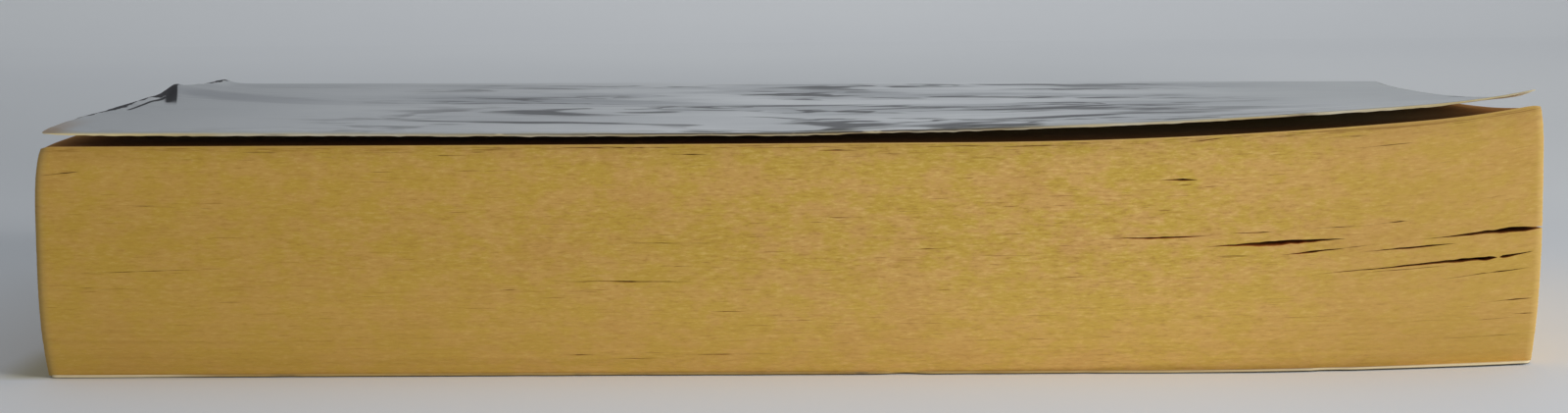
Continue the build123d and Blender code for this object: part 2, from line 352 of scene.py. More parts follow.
def hairlines():
    """Many short, fine partings, closest together near the first leaves and the head."""
    chance = np.random.default_rng(11)
    for x in np.arange(tail + 3, head - 9, 2.6):
        near_head = ramp(x, 20, head)
        x = x + chance.uniform(-0.8, 0.8)
        length = chance.uniform(1.5, 5.5)
        below_top = chance.uniform(0.25, 1.6) if chance.random() < 0.55 else chance.uniform(2, 25)
        kept = chance.random() < 0.62 + 0.38 * near_head
        opening = chance.uniform(0.035, 0.075)
        start = first_leaf(x, fore) - below_top
        end = first_leaf(x + length, fore) - below_top * (1 - 0.02 * near_head)
        clear = all(
            x > slit[2] + 0.5 or x + length < slit[0] - 0.5 or abs(start - slit[1]) > 0.8
            for slit in wide_slits + thin_slits
        )
        if kept and clear and start > 1.2:
            yield (x, start, x + length, end, opening, 0.8, 0.5)


def cut_slits(block):
    """Takes the slits' air out of the block of leaves."""
    places, faces, count = [], [], 0
    for number, slit in enumerate([*wide_slits, *thin_slits, *hairlines()]):
        slit_places, slit_faces = slit_air(*slit, seed=20 + number)
        faces += [[corner + count for corner in face] for face in slit_faces]
        places.append(slit_places)
        count += len(slit_places)
    air = new_piece("slit_air", np.concatenate(places), faces, block.data.materials)
    air.data.polygons.foreach_set("material_index", [2] * len(faces))
    tidy = bmesh.new()
    tidy.from_mesh(air.data)
    bmesh.ops.recalc_face_normals(tidy, faces=tidy.faces)
    tidy.to_mesh(air.data)
    tidy.free()
    cut = block.modifiers.new("slits", "BOOLEAN")
    cut.operation = "DIFFERENCE"
    cut.solver = "MANIFOLD"
    cut.object = air
    bpy.context.view_layer.update()
    whole = block.evaluated_get(bpy.context.evaluated_depsgraph_get())
    cut_mesh = bpy.data.meshes.new_from_object(whole)
    block.modifiers.clear()
    block.data = cut_mesh
    bpy.data.objects.remove(air)


def add(tree, kind, settings=None, **sockets):
    """A new shader node, its sockets given as values or as other nodes' outputs."""
    made = tree.nodes.new(kind)
    for name, value in (settings or {}).items():
        setattr(made, name, value)
    for name, value in sockets.items():
        fill(tree, made.inputs[name.replace("_", " ")], value)
    return made


def fill(tree, socket, value):
    """Links an output to a socket, or sets the socket's own value."""
    if isinstance(value, bpy.types.NodeSocket):
        tree.links.new(value, socket)
    else:
        socket.default_value = value


def sums(tree, operation, *values):
    """Output of a Math node."""
    made = tree.nodes.new("ShaderNodeMath")
    made.operation = operation
    for socket, value in zip(made.inputs, values):
        fill(tree, socket, value)
    return made.outputs[0]


def product(tree, *values):
    """Values multiplied together, such as masks."""
    result, *rest = values
    for value in rest:
        result = sums(tree, "MULTIPLY", result, value)
    return result


def rise(tree, value, start, end, low=0.0, high=1.0):
    """Smooth rise of a value from low to high between start and end."""
    made = tree.nodes.new("ShaderNodeMapRange")
    made.interpolation_type = "SMOOTHSTEP"
    for socket, given in zip(made.inputs, (value, start, end, low, high)):
        fill(tree, socket, given)
    return made.outputs[0]


def mixed(tree, share, first, second):
    """Colour between two colours."""
    made = add(tree, "ShaderNodeMix", {"data_type": "RGBA"})
    for socket, given in zip((made.inputs[0], made.inputs[6], made.inputs[7]), (share, first, second)):
        fill(tree, socket, given)
    return made.outputs[2]


def stretched(tree, vector, scale):
    """A vector scaled by three numbers."""
    made = tree.nodes.new("ShaderNodeVectorMath")
    made.operation = "MULTIPLY"
    fill(tree, made.inputs[0], vector)
    made.inputs[1].default_value = scale
    return made.outputs[0]


def cloud(tree, vector, scale, detail=3.0, roughness=0.5):
    """Noise over a vector, as a value about 0.5."""
    settings = {"Scale": scale, "Detail": detail, "Roughness": roughness}
    noise = add(tree, "ShaderNodeTexNoise", Vector=vector, **settings)
    return noise.outputs["Factor" if "Factor" in noise.outputs else "Fac"]


def swells(tree, place, per_mm, detail=3.0, roughness=0.5):
    """Noise with so many swells to the millimetre along each axis of a place."""
    return cloud(tree, stretched(tree, place, per_mm), 1.0, detail, roughness)


def stored(tree, name):
    """Output of a vector that a piece keeps for its points."""
    made = tree.nodes.new("ShaderNodeAttribute")
    made.attribute_name = name
    return made.outputs["Vector"]


def axes_of(tree, vector):
    """The X, Y and Z of a vector."""
    return add(tree, "ShaderNodeSeparateXYZ", Vector=vector).outputs


def printed(red, green, blue):
    """A colour as a picture gives it, 0 to 255, turned into light."""
    share = np.array([red, green, blue]) / 255
    light = np.where(share <= 0.04045, share / 12.92, ((share + 0.055) / 1.055) ** 2.4)
    return (*light.tolist(), 1.0)


def laid_over(tree, colour, *layers):
    """A colour with layers over it in turn: how far each covers it, 0 to 1, and its shade."""
    for share, shade in layers:
        colour = mixed(tree, share, colour, printed(*shade))
    return colour


def new_look(name):
    """An empty material and its node tree."""
    look = bpy.data.materials.new(name)
    look.use_nodes = True
    return look, look.node_tree


def surface(tree, colour, roughness, relief=None, strength=0.0, depth=0.0, specular=0.5):
    """Gives a material's shader its colour, its roughness and a relief, deep in millimetres."""
    shader = tree.nodes["Principled BSDF"]
    fill(tree, shader.inputs["Base Color"], colour)
    fill(tree, shader.inputs["Roughness"], roughness)
    shader.inputs["Specular IOR Level"].default_value = specular
    if relief is not None:
        bump = add(tree, "ShaderNodeBump", Strength=strength, Distance=depth / 1000, Height=relief)
        fill(tree, shader.inputs["Normal"], bump.outputs["Normal"])


def new_group(name, takes, gives):
    """An empty shader group with named inputs and outputs: (name, kind, value) and (name, kind)."""
    tree = bpy.data.node_groups.new(name, "ShaderNodeTree")
    for label, kind, value in takes:
        made = tree.interface.new_socket(label, in_out="INPUT", socket_type=kind)
        if value is not None:
            made.default_value = value
    for label, kind in gives:
        tree.interface.new_socket(label, in_out="OUTPUT", socket_type=kind)
    return tree, tree.nodes.new("NodeGroupInput").outputs, tree.nodes.new("NodeGroupOutput").inputs


def place_group(tree, group, **sockets):
    """The group placed in a material or another group."""
    return add(tree, "ShaderNodeGroup", {"node_tree": group}, **sockets).outputs


def paper_fibre_group():
    """Fine fibre of uncoated paper, with soft handling stains. Its place is in millimetres."""
    tree, takes, gives = new_group(
        "paper_fibre",
        [("Place", "NodeSocketVector", None), ("Stain size", "NodeSocketFloat", 12.0)],
        [("Fibre", "NodeSocketFloat"), ("Stain", "NodeSocketFloat")],
    )
    fine = cloud(tree, takes["Place"], 3.5, detail=2.0, roughness=0.7)
    scale = sums(tree, "DIVIDE", 1.0, takes["Stain size"])
    blotch = cloud(tree, takes["Place"], scale, detail=4.0, roughness=0.6)
    fill(tree, gives["Fibre"], fine)
    fill(tree, gives["Stain"], rise(tree, blotch, 0.35, 0.68))
    return tree


paper_fibre = paper_fibre_group()


def leaf_paper(name, first, second, dashes=0.8):
    """Yellowed, browned leaf ends: mottled, faintly streaked, with painted shade where leaves part, and
    painted light and shade along the block.
    """
    look, tree = new_look(name)
    place = stored(tree, "leaf")
    flat = stretched(tree, place, (1.0, 1.0, leaf_thickness))
    mottle = swells(tree, flat, (0.28, 0.28, 0.42), 4.0, 0.65)
    patch = swells(tree, flat, (0.11, 0.11, 0.14), 4.0, 0.6)
    grain = swells(tree, flat, (0.8, 0.8, 3.0), 3.0, 0.7)
    single = swells(tree, place, (0.05, 0.05, 0.8), 3.0, 0.6)
    parted = swells(tree, place, (0.20, 0.20, 0.75), 2.0, 0.55)
    loose = swells(tree, place, (0.16, 0.16, 0.8), 3.0, 0.6)
    along = axes_of(tree, place)
    below = sums(tree, "SUBTRACT", leaf_count, along["Z"])
    upper = product(tree, rise(tree, below, 8.0, 5.0), rise(tree, below, 1.8, 2.8))
    loose = sums(tree, "ADD", loose, rise(tree, along["X"], 46.0, 74.0, 0.0, 0.05))
    loose = product(tree, upper, rise(tree, loose, 0.53, 0.6, 0.0, dashes))
    dark = rise(tree, parted, 0.66, 0.76, 0.0, dashes)
    colour = laid_over(
        tree,
        mixed(tree, rise(tree, mottle, 0.38, 0.62), printed(*first), printed(*second)),
        # Warmer and greener patches, then darker and lighter grain
        (rise(tree, patch, 0.51, 0.68, 0.0, 0.5), (188, 142, 82)),
        (rise(tree, patch, 0.49, 0.32, 0.0, 0.5), (184, 152, 60)),
        (rise(tree, grain, 0.5, 0.74, 0.0, 0.5), (146, 104, 46)),
        (rise(tree, grain, 0.5, 0.26, 0.0, 0.42), (232, 198, 124)),
        # Single darker leaves, then painted shade in the partings and in dashes among loose leaves
        # below the first
        (rise(tree, single, 0.56, 0.74, 0.0, 0.06), (140, 98, 40)),
        (dark, (112, 70, 24)),
        (loose, (112, 70, 28)),
        (rise(tree, below, 2.0, 0.6, 0.0, 0.45), (224, 186, 116)),
        # Paler to the table as painted light, browner to tail and head, painted shade at the tail end,
        # painted highlight at the head end
        (rise(tree, along["Z"], 190.0, 0.0, 0.0, 0.3), (228, 186, 100)),
        (rise(tree, along["X"], 50.0, -95.0, 0.0, 0.55), (178, 137, 50)),
        (rise(tree, along["X"], 40.0, 80.0, 0.0, 0.5), (178, 140, 70)),
        (rise(tree, along["X"], tail + 1.6, tail + 0.3, 0.0, 0.5), (156, 130, 84)),
        (rise(tree, along["X"], head - 1.0, head - 0.2, 0.0, 0.3), (224, 190, 122)),
    )
    relief = sums(tree, "ADD", product(tree, single, 0.25), grain)
    relief = sums(tree, "SUBTRACT", relief, product(tree, dark, 0.6))
    surface(tree, colour, 0.85, relief, strength=0.3, depth=0.06, specular=0.25)
    return look


def page_face():
    """The blank face of a leaf: cream, tanned towards its ends, and dark brown at the fore edge, partly
    age and partly painted shade under the cover.
    """
    look, tree = new_look("page_face")
    place = stored(tree, "leaf")
    across = axes_of(tree, place)
    from_end = sums(tree, "SUBTRACT", head, sums(tree, "ABSOLUTE", across["X"]))
    from_fore = sums(tree, "SUBTRACT", across["Y"], fore)
    flat = stretched(tree, place, (1.0, 1.0, 0.0))
    marks = place_group(tree, paper_fibre, Place=flat, Stain_size=22.0)
    tanned = rise(tree, sums(tree, "MINIMUM", from_end, from_fore), 18.0, 0.0, 0.0, 0.9)
    # Dark brown towards the fore edge: partly browning with age, partly painted shade for the gap under
    # the cover
    browned_and_shaded = product(tree, rise(tree, from_fore, 24.0, 0.0), rise(tree, from_end, -2.0, 8.0))
    colour = laid_over(
        tree,
        mixed(tree, marks["Stain"], printed(226, 207, 164), printed(219, 196, 148)),
        (tanned, (190, 132, 62)),
        (browned_and_shaded, (110, 58, 22)),
        (rise(tree, marks["Fibre"], 0.4, 0.8, 0.0, 0.2), (186, 158, 104)),
    )
    surface(tree, colour, 0.9, marks["Fibre"], strength=0.25, depth=0.05, specular=0.08)
    return look


def make_leaves():
    """The block of leaves with its slits, and the number of each leaf kept for its streaks."""
    looks = [
        leaf_paper("leaf_ends", (198, 156, 88), (189, 156, 66)),
        page_face(),
        leaf_paper("inside_slits", (226, 140, 62), (216, 132, 52), dashes=0.0),
    ]
    places, faces, kinds = stack_of_leaves()
    made = new_piece("leaves", places, faces, looks)
    made.data.polygons.foreach_set("material_index", kinds)
    cut_slits(made)
    mesh = made.data
    mesh.shade_smooth()
    mesh.set_sharp_from_angle(angle=radians(35))
    places = np.array([point.co for point in mesh.vertices]) * 1000
    x, y, z = places.T
    share = (z - last_leaf(x, y)) / (first_leaf(x, y) - last_leaf(x, y))
    leaf = share * leaf_count
    keep_vector(mesh, "leaf", np.stack([x, y, leaf], axis=1))
    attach(made, "block")
    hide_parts("text_block")


make_leaves()

# The glue
# Hot-melt glue in one skin over the backs of the leaves. Only its cream ends show at the
# head and the tail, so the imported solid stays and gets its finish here.


def melted_glue():
    """Aged cream glue, a little glossy, with shallow ripples."""
    look, tree = new_look("spine_glue")
    place = stretched(tree, add(tree, "ShaderNodeTexCoord").outputs["Object"], (1000, 1000, 1000))
    marks = place_group(tree, paper_fibre, Place=place, Stain_size=4.0)
    colour = mixed(tree, marks["Stain"], printed(214, 200, 160), printed(190, 170, 122))
    gloss = rise(tree, marks["Fibre"], 0.3, 0.7, 0.38, 0.55)
    surface(tree, colour, gloss, marks["Stain"], strength=0.4, depth=0.1)
    return look


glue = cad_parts["spine_glue"]
glue.data.materials.clear()
glue.data.materials.append(melted_glue())

# The cover card
# One sheet of card, printed outside and bare inside, scored and folded round the spine.
# It is made here in two pieces that meet under the spine.

fold_radius = 0.4
corner_wear = 0.8           # radius of the blunted card corners
seam_y = (hinge_y + spine_out) / 2
cover_reach = hinge_y - cover_fore
flat_reach = spine_out - hinge_y + fold_radius
fore_gap = 0.85             # air under the front cover along its fore edge
tail_gap = 0.35             # wider by this at the tail
head_gap = 0.65             # wider by this over the head half
head_closing = 0.25         # narrower again by this at the head's front corner
tail_curl = 0.5             # turned-up tail edge
tail_reach = 7
pinch_height = 0.9          # pinched crease that runs in from the tail edge
pinch_from_fore = 66.5      # where it starts, from the cover's fore edge
pinch_front = 5.0           # how quickly it falls off towards the fore edge
pinch_back = 20.0           # and towards the spine
pinch_reach = 16
pinch_slant = 0.42          # how much it drifts towards the fore edge per millimetre


def cover_gap(x, y):
    """Air between the topmost leaf and the sprung front cover."""
    back = hinge_y - y
    to_head = x / head
    widest = fore_gap + tail_gap * ramp(-to_head, 0, 0.8) + head_gap * ramp(to_head, 0, 0.4)
    widest = widest - head_closing * ramp(to_head, 0.7, 0.95)
    bulge = np.exp(np.maximum(0.0, -to_head))
    gap = widest * (1 - (1 - ramp(back, flat_reach, cover_reach)) ** bulge)
    from_tail = x + cover_end + 0.2
    edge = ramp(back, flat_reach, 2 * flat_reach) * ramp(y - cover_fore, 0, 3 * flat_reach)
    gap = gap + tail_curl * edge * np.exp(-from_tail / tail_reach)
    from_ridge = y - (cover_fore + pinch_from_fore - pinch_slant * from_tail)
    width = np.where(from_ridge > 0, pinch_back, pinch_front)
    pinch = np.exp(-(from_ridge / width) ** 2) * np.exp(-from_tail / pinch_reach)
    gap = gap + pinch_height * pinch * ramp(back, flat_reach, 3 * flat_reach)
    return side_glue - leaf_spring + gap


# The creased corner: a ridge that runs in from the tail edge, steep on its tail side, a thin
# crack beside it, and a soft bend that fades along the book. Places are seen from above.
ridge = ((-82.0, -4.0), (-87.0, 18.0))
facet_side = ((-83.7, -3.0), (-87.2, 11.0))
crack = ((-85.1, -17.5), (-86.3, 8.0))
soft_bend = ((-86.0, 14.5), (-52.0, -2.0))
ridge_height = 0.22
facet_drop = 0.38
crack_depth = 0.12
bend_depth = 0.22

# The turned-up tail edge: how much higher the card stands there than its even spring,
# from the fore edge to the spine, and how far in from the edge that reaches. The tip of
# the front corner at the head turns up too.
turned_up_y = (-50, -46, -35, -23, -10, -2, 4, 10, 13, 17, 19, 28, 35, 38, 43, 49, 53)
turned_up = (0.1, 0.25, 0.12, 0, 0.08, 0.2, 0.32, 0.7, 0.6, 0.3, 0.02, 0, 0.2, 0.5, 1.1, 0.9, 0.4)
turned_reach = (4, 4, 4, 3, 3, 3, 3, 3, 3, 3, 5, 5, 3, 2, 1.6, 1.4, 1.2)
turned_tip = 0.26
tip_along, tip_deep = 12, 14

# Small unevenness of the worn card: its wave and ripple, its rounded trimmed edge, how far
# its layers have parted at the front corners, its ragged lower edge and its raised core.
card_wave = 0.06
card_ripple = 0.02
rounded_edge = 0.05
parted_share = 0.55
ragged = (0.06, 0.05)
raised_core = 0.03
wear_evenly = 0.10
last_row = 97               # depth over which the rows are spaced, up to the fold


def beside_line(x, y, line):
    """Distance to the tail side of a line, and how far along it, 0 to 1."""
    start, end = line
    run = np.subtract(end, start)
    length = np.hypot(*run)
    along = ((x - start[0]) * run[0] + (y - start[1]) * run[1]) / length ** 2
    beside = (x - start[0]) * run[1] - (y - start[1]) * run[0]
    return -beside / length, along


def creases(x, y):
    """Height that the creased corner adds to the sprung cover."""
    beside, along = beside_line(x, y, ridge)
    inside = ease(along, 0.0, 0.3) * (1 - ease(along, 1.0, 1.12))
    steep = inside * np.where(beside > 0, np.exp(-beside / 1.6), np.exp(beside / 5.0))
    drop = inside * ease(beside, 0, 1.3) * (1 - ease(beside, 1.6, 4.0))
    off_crack, along_crack = beside_line(x, y, crack)
    cracked = ease(along_crack, -0.1, 0.1) * (1 - ease(along_crack, 1.0, 1.2))
    groove = cracked * np.exp(-(off_crack / 0.3) ** 2)
    off_bend, along_bend = beside_line(x, y, soft_bend)
    bent = (1 - ease(along_bend, 0.3, 1.0)) * ease(along_bend, 0.0, 0.08)
    dent = bent * np.exp(-(off_bend / np.where(off_bend > 0, 2.5, 7)) ** 2)
    return ridge_height * steep - facet_drop * drop - crack_depth * groove - bend_depth * dent


def turned_edge(x, y):
    """Height that the turned-up tail edge and the turned-up tip add, greatest at the very edge."""
    reach = np.interp(y, turned_up_y, turned_reach)
    at_tail = np.interp(y, turned_up_y, turned_up) * np.exp(-(x + cover_end) / reach)
    at_tip = np.exp((x - cover_end) / tip_along) * np.exp((cover_fore - y) / tip_deep)
    return at_tail + turned_tip * at_tip


def worn_edge(length_along, seed):
    """How far a trimmed edge of card has worn back, unevenly, with a few small chips."""
    slow = 0.07 * drift(length_along, 0, 4.5, 1, seed)
    quick = 0.04 * drift(length_along, 0, 1.1, 1, seed + 1)
    chips = np.maximum(0.0, drift(length_along, 0, 7.0, 1, seed + 2) - 0.72) * 1.4
    return wear_evenly + slow + quick + chips


def card_columns():
    """Places along the book, closest together at the creased tail end."""
    near = np.linspace(0, 9, 31)
    rest = np.linspace(9, 2 * cover_end - 2, 276)[1:]
    last = np.linspace(2 * cover_end - 2, 2 * cover_end, 9)[1:]
    return -cover_end + np.concatenate([near, rest, last])


def fore_line(x, seed):
    """Trimmed fore edge of a panel: worn back unevenly, and blunted at its two corners."""
    into_corner = np.maximum(0.0, abs(x) - (cover_end - corner_wear))
    blunt = corner_wear - np.sqrt(np.maximum(0.0, corner_wear ** 2 - into_corner ** 2))
    return cover_fore + worn_edge(x, seed) + blunt


def panel_rows():
    """Places from a panel's fore edge to its fold, closest together at the rubbed edge."""
    near = np.array([0, 0.25, 0.55, 0.95, 1.5, 2.2])
    return np.concatenate([near, np.linspace(near[-1], last_row, 78)[1:]]) / last_row


def front_lines(x):
    """Outer and inner line of the front panel, its fold, the spine and the seam below it."""
    outer, inner = [], []

    def add_row(outer_y, outer_z, inner_y, inner_z):
        outer.append((outer_y + 0 * x, outer_z + 0 * x))
        inner.append((inner_y + 0 * x, inner_z + 0 * x))

    start, top = fore_line(x, 31), strip_top(x)
    for depth in panel_rows():
        y = start + depth * (hinge_y - 1 - start)
        calm = ramp(hinge_y - y, flat_reach, 20)
        wave = card_wave * drift(x, y, 34, 27, 41) + card_ripple * drift(x, y, 9, 11, 42)
        under = first_leaf(x, y) + cover_gap(x, y) + turned_edge(x, y)
        under = under + calm * (creases(x, y) + wave)
        over = under + card - rounded_edge * np.exp(-(y - start) / 0.5)
        at_corner = ease(abs(x), cover_end - 9, cover_end) * ease(y - start, 8, 0)
        frayed = ragged[0] * drift(x, 0, 0.9, 1, 43) + ragged[1] * drift(x, 0, 5, 1, 44)
        add_row(y, over, y, under + card * parted_share * at_corner + (depth == 0) * frayed)
    over_fold = np.linspace(hinge_y - 0.8, hinge_y + 1, 10)
    to_spine = np.linspace(hinge_y + 1.8, spine_out - fold_radius, 4)
    for y in (*over_fold, *to_spine):
        turn_up = turned_edge(x, y)
        add_row(y, top + turn_up, y, top - card + turn_up)
    fold_y, inner_radius = spine_out - fold_radius, fold_radius - card
    for turn in np.radians(np.linspace(15, 90, 6)):
        across, up = np.sin(turn), np.cos(turn) - 1
        outer_z = top + fold_radius * up + turn_up
        inner_z = top - card + inner_radius * up + turn_up
        add_row(fold_y + fold_radius * across, outer_z, fold_y + inner_radius * across, inner_z)
    for share in np.linspace(1, 0, 20)[1:-1]:
        z = fold_radius + share * (top - 2 * fold_radius)
        outside = spine_curve(share, spine_out, fold_radius, top - fold_radius)
        z = z + turn_up * ease(share, 0.8, 1)
        add_row(outside, z, outside - card, z)
    for turn in np.radians(np.linspace(90, 0, 7)):
        across, up = np.sin(turn), np.cos(turn) - 1
        inner_y, inner_z = fold_y + inner_radius * across, card - inner_radius * up
        add_row(fold_y + fold_radius * across, -fold_radius * up, inner_y, inner_z)
    add_row(seam_y, 0, seam_y, card)
    return outer, inner


def back_lines(x):
    """Outer and inner line of the back panel, from its fore edge to the seam."""
    start = fore_line(x, 61)
    rows = [start + depth * (hinge_y - 1 - start) for depth in panel_rows()]
    rows += [y + 0 * x for y in np.linspace(hinge_y - 0.8, hinge_y + 1, 10)]
    rows += [seam_y + 0 * x]
    lip = [0.09 * np.exp(-(y - start) / 1.2) for y in rows]
    outer = [(y, (corner_rise(x, y) + up) * (y < hinge_y - 1)) for y, up in zip(rows, lip)]
    inner = [(y, z + card) for y, z in outer]
    return outer, inner


def card_piece(name, lines, looks, turned):
    """Closed sheet of card between its outer and inner lines, with a slightly raised core."""
    columns = card_columns()
    outer, inner = (np.array(line) for line in lines(columns))
    rows, count = outer.shape[0], len(columns)
    girth = np.cumsum(np.hypot(*np.diff(outer[:, :, count // 2], axis=0).T))
    girth = np.concatenate([[0], girth])[:, None] + 0 * columns
    end_wear = np.array([[worn_edge(girth[r, 0], seed) for seed in (71, 81)] for r in range(rows)])
    x = np.tile(columns, (rows, 1))
    near_end = ease(abs(x), cover_end - 3, cover_end)
    x = x - np.sign(x) * near_end * np.where(x < 0, end_wear[:, :1], end_wear[:, 1:]) * 0.8
    outside = np.stack([x, outer[:, 0], outer[:, 1]], axis=2)
    inside = np.stack([x, inner[:, 0], inner[:, 1]], axis=2)
    ring = [(0, c) for c in range(count - 1)] + [(r, count - 1) for r in range(rows - 1)]
    ring += [(rows - 1, c) for c in range(count - 1, 0, -1)] + [(r, 0) for r in range(rows - 1, 0, -1)]
    core = []
    for r, c in ring:
        middle = (outside[r, c] + inside[r, c]) / 2
        push = np.array([(c == count - 1) - (c == 0), (r == rows - 1) - (r == 0), 0])
        core.append(middle + raised_core * push * (r < rows - 1))
    upper = np.arange(rows * count).reshape(rows, count)
    lower = upper + rows * count
    first_core = 2 * rows * count
    faces = grid_faces(upper, flip=not turned) + grid_faces(lower, flip=turned)
    sheets = len(faces) // 2
    for number, (here, there) in enumerate(zip(ring, ring[1:] + ring[:1])):
        near, far = first_core + number, first_core + (number + 1) % len(ring)
        rims = [[upper[here], upper[there], far, near], [near, far, lower[there], lower[here]]]
        faces += [rim if turned else rim[::-1] for rim in rims]
    places = np.concatenate([outside.reshape(-1, 3), inside.reshape(-1, 3), core])
    made = new_piece(name, places, faces, looks, smooth_below=40)
    kinds = [0] * sheets + [1] * sheets + [2] * (2 * len(ring))
    made.data.polygons.foreach_set("material_index", kinds)
    # The flat sheet, for its print: Z is 0 outside, 1 inside and 0.5 on the core between them
    hinge_row = int(np.argmin(abs(outer[:, 0, 0] - hinge_y)))
    beyond = hinge_y + girth - girth[hinge_row]
    flat_y = np.where(np.arange(rows)[:, None] < hinge_row, outer[:, 0], beyond)
    flat = np.stack([x, flat_y, 0 * x], axis=2).reshape(-1, 3)
    ring_flat = [(x[r, c], flat_y[r, c], 0.5) for r, c in ring]
    keep_vector(made.data, "sheet", np.concatenate([flat, flat + (0, 0, 1), ring_flat]))
    # Distances from the trimmed edges, for its wear: the spine is far from the fore edge
    from_fore = np.where(flat_y < hinge_y, outer[:, 0] - outer[0, 0], 100.0)
    wear = np.stack([from_fore, cover_end - abs(x), 0 * x], axis=2).reshape(-1, 3)
    ring_wear = [(0.0, cover_end - abs(x[r, c]), 0.0) for r, c in ring]
    keep_vector(made.data, "wear", np.concatenate([wear, wear, ring_wear]))
    return made


def rubbed_edge_group():
    """Print rubbed off beside a trimmed edge. Edge is the distance from it in millimetres."""
    tree, takes, gives = new_group(
        "rubbed_edge",
        [
            ("Place", "NodeSocketVector", None),
            ("Edge", "NodeSocketFloat", 10.0),
            ("Width", "NodeSocketFloat", 1.0),
        ],
        [("Bare", "NodeSocketFloat"), ("Soft", "NodeSocketFloat")],
    )
    coarse = swells(tree, takes["Place"], (0.16, 0.16, 0.16), 4.0, 0.65)
    reach = product(tree, takes["Width"], rise(tree, coarse, 0.3, 0.7, 0.35, 1.6))
    beyond = sums(tree, "DIVIDE", takes["Edge"], reach)
    fill(tree, gives["Bare"], rise(tree, beyond, 1.15, 0.75))
    fill(tree, gives["Soft"], rise(tree, beyond, 6.0, 0.5))
    return tree


rubbed_edge = rubbed_edge_group()


def line_sides(tree, place, line):
    """Distance to the tail side of a line on the cover, and distance along it."""
    start, end = np.array(line)
    length = float(np.hypot(*(end - start)))
    ahead = (end - start) / length
    values = []
    for direction in ((-ahead[1], ahead[0]), tuple(ahead)):
        dot = add(tree, "ShaderNodeVectorMath", {"operation": "DOT_PRODUCT"})
        fill(tree, dot.inputs[0], place)
        dot.inputs[1].default_value = (*direction, 0.0)
        values.append(sums(tree, "SUBTRACT", dot.outputs["Value"], float(np.dot(direction, start))))
    return (*values, length)


def near_line(tree, place, line, half_width, soft):
    """Mask that is 1 on a line of the cover and fades out to its sides and ends."""
    beside, along, length = line_sides(tree, place, line)
    across = rise(tree, sums(tree, "ABSOLUTE", beside), half_width + soft, half_width)
    begun = rise(tree, along, -soft, soft)
    ended = rise(tree, along, length + soft, length - soft)
    return product(tree, across, begun, ended)


def darkened_corner(tree, place, tail_edge, across):
    """Mask of the marks at the creased corner: dark facet and crack, partly dark print and partly
    painted shade, and a grimy tail edge.
    """
    beside, along, length = line_sides(tree, place, ridge)
    left, _, _ = line_sides(tree, place, facet_side)
    facet = product(
        tree,
        rise(tree, beside, -0.08, 0.08),
        rise(tree, left, 0.35, -0.25),
        rise(tree, along, -4.0, 6.0),
        rise(tree, along, length + 0.6, length - 0.6),
    )
    crack_line = near_line(tree, place, crack, 0.12, 0.2)
    uneven = product(tree, rise(tree, swells(tree, place, (0.3, 0.3, 0.3)), 0.35, 0.65), 0.35)
    thick = product(tree, rise(tree, across, -24.0, -17.0), rise(tree, across, -7.0, -13.0), 0.7)
    at_ridge = product(tree, rise(tree, across, 2.0, 8.0), rise(tree, across, 19.0, 16.0), 0.6)
    width = sums(tree, "ADD", sums(tree, "ADD", uneven, 0.2), sums(tree, "ADD", thick, at_ridge))
    grimy = rise(tree, sums(tree, "DIVIDE", tail_edge, width), 1.15, 0.8)
    begun = rise(tree, across, -40.0, -26.0)
    ended = sums(tree, "MAXIMUM", rise(tree, across, 20.0, 16.0), rise(tree, across, 36.0, 39.0))
    grimy = product(tree, grimy, begun, ended)
    return sums(tree, "MAXIMUM", facet, sums(tree, "MAXIMUM", crack_line, grimy))


def pencil_drift_group():
    """Soft pencil-like strokes with a smoky wash to one side. Size is theirs in millimetres."""
    tree, takes, gives = new_group(
        "pencil_drift",
        [
            ("Place", "NodeSocketVector", None),
            ("Size", "NodeSocketFloat", 20.0),
            ("Width", "NodeSocketFloat", 0.04),
        ],
        [("Line", "NodeSocketFloat"), ("Haze", "NodeSocketFloat")],
    )
    near = add(tree, "ShaderNodeVectorMath", {"operation": "SCALE"})
    fill(tree, near.inputs[0], takes["Place"])
    fill(tree, near.inputs["Scale"], sums(tree, "DIVIDE", 1.0, takes["Size"]))
    warp = add(tree, "ShaderNodeTexNoise", Vector=near.outputs[0], Scale=0.6, Detail=1.0)
    bent = add(tree, "ShaderNodeVectorMath", {"operation": "MULTIPLY_ADD"})
    fill(tree, bent.inputs[0], warp.outputs["Color"])
    bent.inputs[1].default_value = (1.8, 1.8, 2.4)
    fill(tree, bent.inputs[2], near.outputs[0])
    field = cloud(tree, bent.outputs[0], 1.0, detail=3.0)
    where = rise(tree, cloud(tree, near.outputs[0], 0.5, detail=1.0), 0.46, 0.54)
    weight = cloud(tree, near.outputs[0], 2.4, detail=2.0)
    width = product(tree, takes["Width"], rise(tree, weight, 0.35, 0.68, 0.2, 1.0))
    distance = sums(tree, "ABSOLUTE", sums(tree, "SUBTRACT", field, 0.5))
    line = rise(tree, sums(tree, "DIVIDE", distance, width), 1.0, 0.25)
    fill(tree, gives["Line"], product(tree, line, rise(tree, weight, 0.38, 0.5), where))
    fill(tree, gives["Haze"], product(tree, rise(tree, field, 0.38, 0.62), where))
    return tree


pencil_drift = pencil_drift_group()

# Large and small strokes of the drawing: their size in millimetres, their width within the
# noise that draws them, how strong the wash beside them is, and how much a step along the
# book counts, which draws them out.
strokes = [(26.0, 0.07, 0.45, 0.43), (8.0, 0.09, 0.25, 0.37)]

# Old scuffs, each from one end to the other, seen from above
scuffs = [
    ((86.4, -6.5), (87.2, -12.0)),
    ((57.4, -49.2), (61.2, -49.6)),
    ((80.5, -49.75), (87.2, -49.75)),
]


